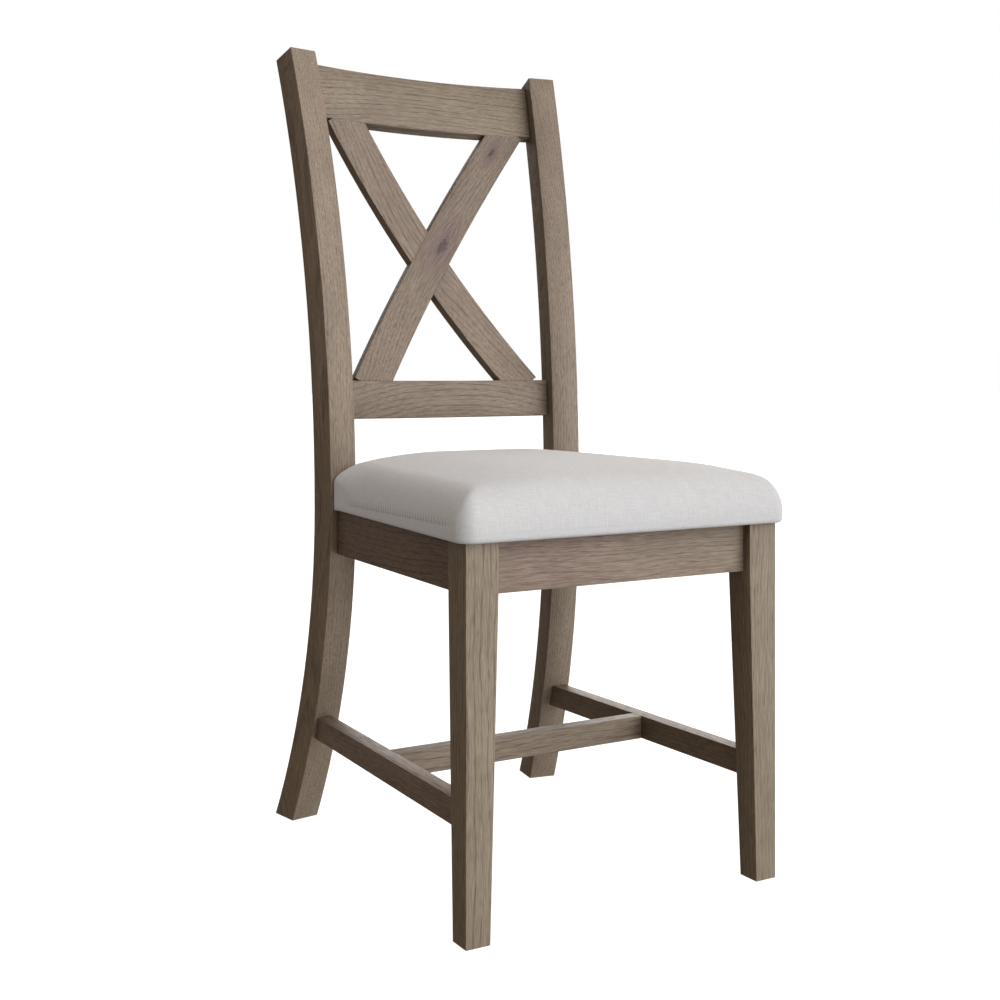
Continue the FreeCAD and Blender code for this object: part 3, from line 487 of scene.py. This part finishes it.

# Each piece: along, up, pith, offset, tone from end to end, darkness (partly its own, partly
# painted shade), material
wood = {
    "front_leg_left": (upright, sideways, (0.035, 0.060), 1.3, (0.0, 0.0), 1.04, streaked),
    "front_leg_right": (upright, sideways, (0.120, 0.090), 2.9, (0.0, 0.1), 1.0, oak),
    "back_post_left": (upright, sideways, (0.240, 0.030), 4.1, (0.05, 0.35), 1.06, oak),
    "back_post_right": (upright, sideways, (0.210, 0.025), 5.7, (0.2, 0.4), 0.96, oak),
    "crest_rail": (sideways, upright, (0.150, 0.045), 7.3, (0.1, 0.0), 0.965, streaked),
    "lower_back_rail": (rail_run, upright, (0.085, 0.030), 8.9, (0.4, 0.3), 0.93, arched),
    "cross_brace_front": (rise, sideways, (0.092, 0.045), 0.0, (0.5, 0.7), 0.90, knotty),
    "cross_brace_rear": (fall, sideways, (0.080, 0.060), 12.1, (0.4, 0.7), 0.98, streaked),
    "front_seat_rail": (sideways, upright, (0.090, 0.080), 13.7, (1.2, 0.1), 1.0, oak),
    "rear_seat_rail": (sideways, upright, (0.060, 0.090), 15.3, (0.3, 0.3), 0.9, oak),
    # Painted shade: the left seat rail is darkened for the shade it lies in under the pad
    "left_seat_rail": (backward, upright, (0.070, 0.060), 16.9, (1.0, 1.0), 0.80, streaked),
    "right_seat_rail": (backward, upright, (0.080, 0.070), 18.1, (0.4, 0.6), 0.9, streaked),
    "left_stretcher": (backward, upright, (0.050, 0.050), 19.7, (0.7, 0.5), 0.92, oak),
    "right_stretcher": (backward, upright, (0.060, 0.040), 21.3, (0.4, 0.4), 0.92, oak),
    "cross_stretcher": (sideways, upright, (0.045, 0.050), 22.9, (0.2, 0.2), 0.98, streaked),
}
for name, (along, up, pith, offset, tone, darkness_and_painted_shade, material) in wood.items():
    piece = eased(name)
    bow = ARCHED_BOW if material is arched else STRAIGHT_BOW
    set_grain(piece.data, along, up, pith, offset, tone, darkness_and_painted_shade, bow)
    piece.data.materials.append(material)
    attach(piece, "root")
    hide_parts(name)


# Hidden pieces keep their CAD shape

def dress(node_name, material):
    mesh = nodes[node_name].data
    mesh.materials.clear()
    mesh.materials.append(material)


block_wood = plain_wood("block_wood", rgb(0.46, 0.34, 0.21), rgb(0.32, 0.21, 0.12))
for end in ("front", "rear"):
    for side in ("left", "right"):
        dress(f"corner_block_{end}_{side}", block_wood)
dowel_wood = plain_wood("dowel_wood", rgb(0.58, 0.44, 0.28), rgb(0.42, 0.30, 0.18))
dress("brace_dowels", dowel_wood)
dress("seat_board", plywood("plywood"))
dress("dust_cover", dust_cloth("dust_cloth"))
steel = screw_steel("screw_steel")
dress("block_screws", steel)
dress("seat_screws", steel)


# Seat pad, in metres. Plan places near a post are (across, back) in the post's own frame.

leg_low, leg_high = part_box("front_leg_right")
board_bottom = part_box("seat_board")[0].z
cover_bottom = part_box("seat_cover")[0].z

OVERHANG = 0.0123
CORNER = 0.0195
OUTLINE_STEP = 0.0035
POST_X = 0.1852
POST_BACK = 0.3807
POST_TOE = math.radians(10)
NOTCH_FACE = -0.0004
NOTCH_OUT = 0.0036
NOTCH_IN = 0.0384
NOTCH_REAR = 0.034
NOTCH_RADIUS = 0.003
REAR_REACH = 0.0403

BULGE = 0.4222
EDGE_RISE = 0.0393
EDGE_DEPTH = 0.0318
CROWN = 0.0182
CROWN_FRONT = 0.078
CROWN_SIDE = 0.132
CROWN_REAR = 0.102
TILT = 0.008
TILT_PIVOT = 0.2
POST_RISE = 0.0210
POST_REACH = 0.100
ROLL_DROP = 0.0025
ROLL_REACH = 0.005

# Insets from the outline with heights over the rails, from under the pad up round its lower roll
LOWER_ROLL = [
    (0.034, 0.0),
    (0.024, 0.0),
    (0.014, 0.0),
    (0.0075, 0.0),
    (0.0042, 0.0002),
    (0.0024, 0.0009),
    (0.0012, 0.0020),
    (0.0005, 0.0035),
    (0.0002, 0.0060),
    (0.0001, 0.0100),
]
ROLL_START = 0.0074
ROLL_TOP = 0.0100
TIGHT_ROLL = 0.15
WALL_ROWS = (0.35, 0.7, 0.93)
RAIL_GAP = 0.0002
BOARD_GAP = 0.0006

SEAM_RISE = 0.0178
SEAM_FRONT = 0.012
SEAM_REAR = 0.040

SWELL_SHARE = 0.2
SWELL_CAP = 0.003
TRIAL_CELL = 0.006
PRESSURE = 4
STIFFNESS = 80
LAST_FRAME = 20
STAPLED_HEIGHT = 0.030
HELD_REACH = 0.012
NEIGHBOURS = 24
BLUR = 0.012

front_y = leg_low.y
post_y = front_y + POST_BACK
pad_half = leg_high.x + OVERHANG
pad_front = front_y - OVERHANG
pad_rear = post_y + REAR_REACH


def post_point(across, back):
    """Plan point on the right side, in the frame of the right post."""
    x = POST_X - across * math.cos(POST_TOE) + back * math.sin(POST_TOE)
    y = post_y + across * math.sin(POST_TOE) + back * math.cos(POST_TOE)
    return x, y


def rounded(corners, steps=8):
    """Closed outline through the corners, each turned on its own radius."""
    points = []
    count = len(corners)
    for index, (x, y, radius) in enumerate(corners):
        here = Vector((x, y))
        before = Vector(corners[index - 1][:2])
        after = Vector(corners[(index + 1) % count][:2])
        back = (before - here).normalized()
        ahead = (after - here).normalized()
        half_turn = back.angle(ahead) / 2
        reach = radius / math.tan(half_turn)
        start = here + back * reach
        end = here + ahead * reach
        middle = here + (back + ahead).normalized() * (radius / math.sin(half_turn))
        for step in range(steps + 1):
            chord = start.lerp(end, step / steps) - middle
            points.append(middle + chord.normalized() * radius)
    return points


def spaced(points, spacing):
    """The outline again, with its points evenly apart."""
    loop = points + [points[0]]
    lengths = [0.0]
    for first, second in zip(loop, loop[1:]):
        lengths.append(lengths[-1] + (second - first).length)
    count = round(lengths[-1] / spacing)
    even = []
    index = 0
    for step in range(count):
        want = lengths[-1] * step / count
        while lengths[index + 1] < want:
            index += 1
        t = (want - lengths[index]) / max(lengths[index + 1] - lengths[index], 1e-9)
        even.append(loop[index].lerp(loop[index + 1], t))
    return even


def mirrored(corners):
    """The corners of the right side, and those of the left side after them."""
    return corners + [(-x, y, radius) for x, y, radius in reversed(corners)]


def pad_plan():
    """Outline of the pad, cut round the two posts."""
    corners = [(pad_half, pad_front, CORNER)]
    corners.append((*post_point(NOTCH_OUT, NOTCH_FACE), 0.004))
    corners.append((*post_point(NOTCH_IN, NOTCH_FACE), NOTCH_RADIUS))
    corners.append((*post_point(NOTCH_IN, NOTCH_REAR), NOTCH_RADIUS))
    return spaced(rounded(mirrored(corners)), OUTLINE_STEP)


def outer_plan():
    """The outline without the post notches, its sides run on to the rear edge."""
    corner = Vector((pad_half, pad_front))
    side = Vector(post_point(NOTCH_OUT, NOTCH_FACE)) - corner
    far = corner + side * ((pad_rear - pad_front) / side.y)
    return rounded(mirrored([(pad_half, pad_front, CORNER), (far.x, far.y, 0.008)]))


def edge_distance(points, plan):
    """Distance from each plan point to the outline."""
    start = np.array([(p.x, p.y) for p in plan])
    step = np.roll(start, -1, 0) - start
    length = np.maximum((step * step).sum(1), 1e-12)
    gap = points[:, None, :] - start[None]
    t = np.clip((gap * step).sum(2) / length, 0, 1)
    return np.linalg.norm(gap - t[..., None] * step, axis=2).min(1)


def post_distance(points):
    """Distance from each plan point to the two post faces that the pad is cut round."""
    right = np.abs(points[:, 0]) - POST_X
    back = points[:, 1] - post_y
    across = back * math.sin(POST_TOE) - right * math.cos(POST_TOE)
    beyond = right * math.sin(POST_TOE) + back * math.cos(POST_TOE)
    past_face = across - np.clip(across, NOTCH_OUT, NOTCH_IN)
    past_side = beyond - np.clip(beyond, NOTCH_FACE, NOTCH_REAR)
    to_front = np.hypot(past_face, beyond - NOTCH_FACE)
    to_side = np.hypot(across - NOTCH_IN, past_side)
    return np.minimum(to_front, to_side)


def swell(distance, reach):
    """Rise from 0 at the edge to 1 at the reach, on a round curve."""
    return 1 - (1 - np.clip(distance / reach, 0, 1)) ** 2


def crown_height(points, outer):
    """Height of the pad's top: a full round edge that squares up at the posts, and a crown."""
    corner = np.array([pad_half, pad_front])
    along = np.array(post_point(NOTCH_OUT, NOTCH_FACE)) - corner
    along /= np.linalg.norm(along)
    folded = np.column_stack([np.abs(points[:, 0]), points[:, 1]]) - corner
    from_side = np.abs(folded @ np.array([-along[1], along[0]]))
    from_rear = pad_rear - points[:, 1]
    from_post = post_distance(points)
    inset = edge_distance(points, outer)

    near_post = np.clip(1 - (post_y - points[:, 1]) / POST_REACH, 0, 1)
    near_post = near_post ** 2 * (3 - 2 * near_post) * np.clip(from_rear / 0.03, 0, 1)
    full = np.sqrt(swell(inset, EDGE_DEPTH))
    slant = 1 - (1 - np.clip(inset / 0.036, 0, 1)) ** 1.35
    straight = 0.7 * slant + 0.3 * np.sqrt(swell(inset, 0.010))
    base = BULGE + POST_RISE * near_post
    edge = (BULGE + EDGE_RISE - base) * (full + (straight - full) * near_post)

    crown = swell(folded[:, 1], CROWN_FRONT)
    crown = crown * swell(from_side, CROWN_SIDE) * swell(from_rear, CROWN_REAR)
    crown *= 1 - 0.45 * near_post * np.clip(1 - from_post / 0.03, 0, 1)
    tilt = TILT * (points[:, 1] - front_y - TILT_PIVOT)
    roll = ROLL_DROP * (1 - np.sqrt(swell(from_post, ROLL_REACH)))
    return base + edge + CROWN * crown + tilt - roll


def pad_rings(plan, outer, middle):
    """Rings of points from under the board up the sides and in over the top."""
    outline = np.array([(p.x, p.y) for p in plan])
    count = len(plan)
    run = np.roll(outline, -1, 0) - np.roll(outline, 1, 0)
    inward = np.stack([-run[:, 1], run[:, 0]], 1)
    inward /= np.linalg.norm(inward, axis=1)[:, None]
    base = cover_bottom + RAIL_GAP
    lower = [(LOWER_ROLL[0][0], board_bottom + BOARD_GAP)]
    lower += [(inset, base + lift) for inset, lift in LOWER_ROLL]
    tight = np.where(outline[:, 1] > post_y - 0.003, TIGHT_ROLL, 1.0)[:, None]
    rings = []
    for inset, z in lower:
        turn = inward * inset
        if inset < ROLL_START:
            turn = turn * tight
        rings.append(np.column_stack([outline + turn, np.full(count, z)]))
    wall = crown_height(outline, outer) - base - ROLL_TOP
    for share in WALL_ROWS:
        rings.append(np.column_stack([outline, base + ROLL_TOP + wall * share]))
    shares = [(1 - math.cos(math.radians(angle))) * EDGE_DEPTH / 0.21 for angle in range(0, 90, 7)]
    while shares[-1] < 0.965:
        shares.append(shares[-1] + 0.022)
    for share in shares:
        ring = outline + (middle - outline) * share
        rings.append(np.column_stack([ring, crown_height(ring, outer)]))
    return rings


def pad_mesh():
    """Crowned closed form of the pad, resting flat on the seat rails."""
    plan = pad_plan()
    outer = outer_plan()
    count = len(plan)
    middle = np.array([0.0, front_y + 0.215])
    rings = pad_rings(plan, outer, middle)
    tip = np.array([[*middle, crown_height(middle[None], outer)[0]]])
    points = np.concatenate(rings + [tip])
    faces = []
    for ring in range(len(rings) - 1):
        for step in range(count):
            following = (step + 1) % count
            faces.append((
                ring * count + step,
                ring * count + following,
                (ring + 1) * count + following,
                (ring + 1) * count + step,
            ))
    last = (len(rings) - 1) * count
    for step in range(count):
        faces.append((last + step, last + (step + 1) % count, len(points) - 1))
    faces.append(tuple(reversed(range(count))))
    mesh = bpy.data.meshes.new("seat_pad")
    mesh.from_pydata(points.tolist(), [], faces)
    work = bmesh.new()
    work.from_mesh(mesh)
    bmesh.ops.recalc_face_normals(work, faces=work.faces)
    work.to_mesh(mesh)
    work.free()
    mesh.shade_smooth()
    return mesh


def blown_up(mesh):
    """Places in an even copy of the pad, and how far a cloth simulation moves each when filled."""
    trial = bpy.data.objects.new("pad_trial", mesh.copy())
    scene.collection.objects.link(trial)
    even = trial.modifiers.new("Even", "REMESH")
    even.mode = "VOXEL"
    even.voxel_size = TRIAL_CELL
    graph = bpy.context.evaluated_depsgraph_get()
    trial.data = bpy.data.meshes.new_from_object(trial.evaluated_get(graph))
    trial.modifiers.clear()
    before = vertex_places(trial.data)
    held = trial.vertex_groups.new(name="held")
    stapled = before[:, 2] < cover_bottom + STAPLED_HEIGHT
    stapled |= edge_distance(before[:, :2], outer_plan()) < HELD_REACH
    stapled |= post_distance(before[:, :2]) < HELD_REACH
    held.add(np.flatnonzero(stapled).tolist(), 1.0, "REPLACE")
    filled = trial.modifiers.new("Cloth", "CLOTH")
    filled.settings.quality = 4
    filled.settings.use_pressure = True
    filled.settings.uniform_pressure_force = PRESSURE
    filled.settings.tension_stiffness = STIFFNESS
    filled.settings.compression_stiffness = STIFFNESS
    filled.settings.effector_weights.gravity = 0
    filled.settings.vertex_group_mass = "held"
    filled.collision_settings.use_collision = False
    filled.point_cache.frame_start = 1
    filled.point_cache.frame_end = LAST_FRAME
    for number in range(1, LAST_FRAME + 1):
        scene.frame_set(number)
    graph = bpy.context.evaluated_depsgraph_get()
    after = vertex_places(trial.evaluated_get(graph).data)
    trial.modifiers.clear()
    scene.frame_set(1)
    bpy.data.objects.remove(trial)
    return before, after - before


def swollen(mesh):
    """Fill the pad as its copy was filled: the firm foam gives a fifth of that, up to a cap."""
    before, move = blown_up(mesh)
    move *= SWELL_SHARE
    length = np.linalg.norm(move, axis=1)
    move *= np.minimum(1, SWELL_CAP / np.maximum(length, 1e-9))[:, None]
    tree = KDTree(len(before))
    for index, place in enumerate(before):
        tree.insert(place, index)
    tree.balance()
    places = vertex_places(mesh)
    shift = np.zeros_like(places)
    for index, place in enumerate(places):
        near = tree.find_n(place, NEIGHBOURS)
        weight = [math.exp(-((distance / BLUR) ** 2)) + 1e-9 for _, _, distance in near]
        weight = np.array(weight)
        shift[index] = weight @ move[[found for _, found, _ in near]] / weight.sum()
    free = np.clip((places[:, 2] - cover_bottom - 0.004) / 0.012, 0, 1)
    free *= np.clip(post_distance(places[:, :2]) / HELD_REACH, 0, 1)
    places += shift * free[:, None]
    mesh.vertices.foreach_set("co", places.ravel())
    mesh.update()
    return mesh


pad_shape = pad_mesh()
pad_shape = swollen(pad_shape)
seat_pad = bpy.data.objects.new("seat_pad", pad_shape)
scene.collection.objects.link(seat_pad)
seam = (cover_bottom + SEAM_RISE, front_y + SEAM_FRONT, post_y - SEAM_REAR)
seat_pad.data.materials.append(linen("linen", *seam))
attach(seat_pad, "root")
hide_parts("seat_cover", "seat_foam")


# Floor, backdrop, lights and camera

FLOOR_REACH = 40.0
BACKDROP_RADIUS = 38.0
FLOOR_GLOW = 0.94
BACKDROP_GLOW = 1.0
FLOOR_GREY = 0.35
SKY_AT_HORIZON = 0.28
SKY_OVERHEAD = 0.62
SKY_COLOUR = rgb(1.0, 0.87, 0.77)
FOCAL_LENGTH = 50
SENSOR_WIDTH = 36
CAMERA_SHIFT = -0.12647
CAMERA_LEFT = 0.87428
CAMERA_BEFORE = 1.21898
CAMERA_HEIGHT = 0.57903
CAMERA_TURN = math.radians(30.25)


def glow(name, emission, base=0.0):
    """Pale even surface that gives its own light."""
    g = Graph(name)
    g.shader.inputs["Emission Color"].default_value = rgb(1, 1, 1)
    g.shader.inputs["Emission Strength"].default_value = emission
    return g.finish(rgb(base, base, base), 1.0, 0.0)


def stage_object(name, mesh, material):
    """Floor or backdrop that the camera sees and that sheds no light on the chair."""
    thing = bpy.data.objects.new(name, mesh)
    scene.collection.objects.link(thing)
    mesh.materials.append(material)
    thing.visible_diffuse = False
    thing.visible_glossy = False
    thing.visible_shadow = False


def softlight(name, towards, strength, spread):
    """Broad even light that shines from one direction over the whole set."""
    data = bpy.data.lights.new(name, "SUN")
    data.energy = strength
    data.angle = math.radians(spread)
    thing = bpy.data.objects.new(name, data)
    scene.collection.objects.link(thing)
    thing.rotation_euler = Vector(towards).to_track_quat("Z", "Y").to_euler()


floor_mesh = bpy.data.meshes.new("floor")
floor_corners = [(-1, -1), (1, -1), (1, 1), (-1, 1)]
floor_points = [(FLOOR_REACH * x, FLOOR_REACH * y, 0) for x, y in floor_corners]
floor_mesh.from_pydata(floor_points, [], [(0, 1, 2, 3)])
stage_object("floor", floor_mesh, glow("floor", FLOOR_GLOW, FLOOR_GREY))
dome_mesh = bpy.data.meshes.new("backdrop")
dome = bmesh.new()
bmesh.ops.create_uvsphere(dome, u_segments=48, v_segments=24, radius=BACKDROP_RADIUS)
dome.to_mesh(dome_mesh)
dome.free()
stage_object("backdrop", dome_mesh, glow("backdrop", BACKDROP_GLOW))

# Warm sky, brighter overhead
world = bpy.data.worlds.new("studio")
scene.world = world
world.use_nodes = True
sky_nodes = world.node_tree.nodes
sky_links = world.node_tree.links
sky = sky_nodes["Background"]
sky.inputs["Color"].default_value = SKY_COLOUR
direction = sky_nodes.new("ShaderNodeTexCoord")
height = sky_nodes.new("ShaderNodeSeparateXYZ")
fade = sky_nodes.new("ShaderNodeMapRange")
fade.inputs["To Min"].default_value = SKY_AT_HORIZON
fade.inputs["To Max"].default_value = SKY_OVERHEAD
sky_links.new(direction.outputs["Generated"], height.inputs[0])
sky_links.new(height.outputs["Z"], fade.inputs["Value"])
sky_links.new(fade.outputs[0], sky.inputs["Strength"])

softlight("key", (0.5, -1.0, 0.28), 2.9, 75)
softlight("side_fill", (-1.0, -0.1, 0.35), 0.16, 90)
softlight("back_fill", (0.7, 1.0, 0.25), 2.2, 60)

camera_data = bpy.data.cameras.new("camera")
camera_data.lens = FOCAL_LENGTH
camera_data.sensor_width = SENSOR_WIDTH
camera_data.shift_y = CAMERA_SHIFT
camera = bpy.data.objects.new("camera", camera_data)
scene.collection.objects.link(camera)
camera.location = (-CAMERA_LEFT, front_y - CAMERA_BEFORE, CAMERA_HEIGHT)
camera.rotation_euler = (math.radians(90), 0, -CAMERA_TURN)
scene.camera = camera
scene.view_settings.view_transform = "Standard"
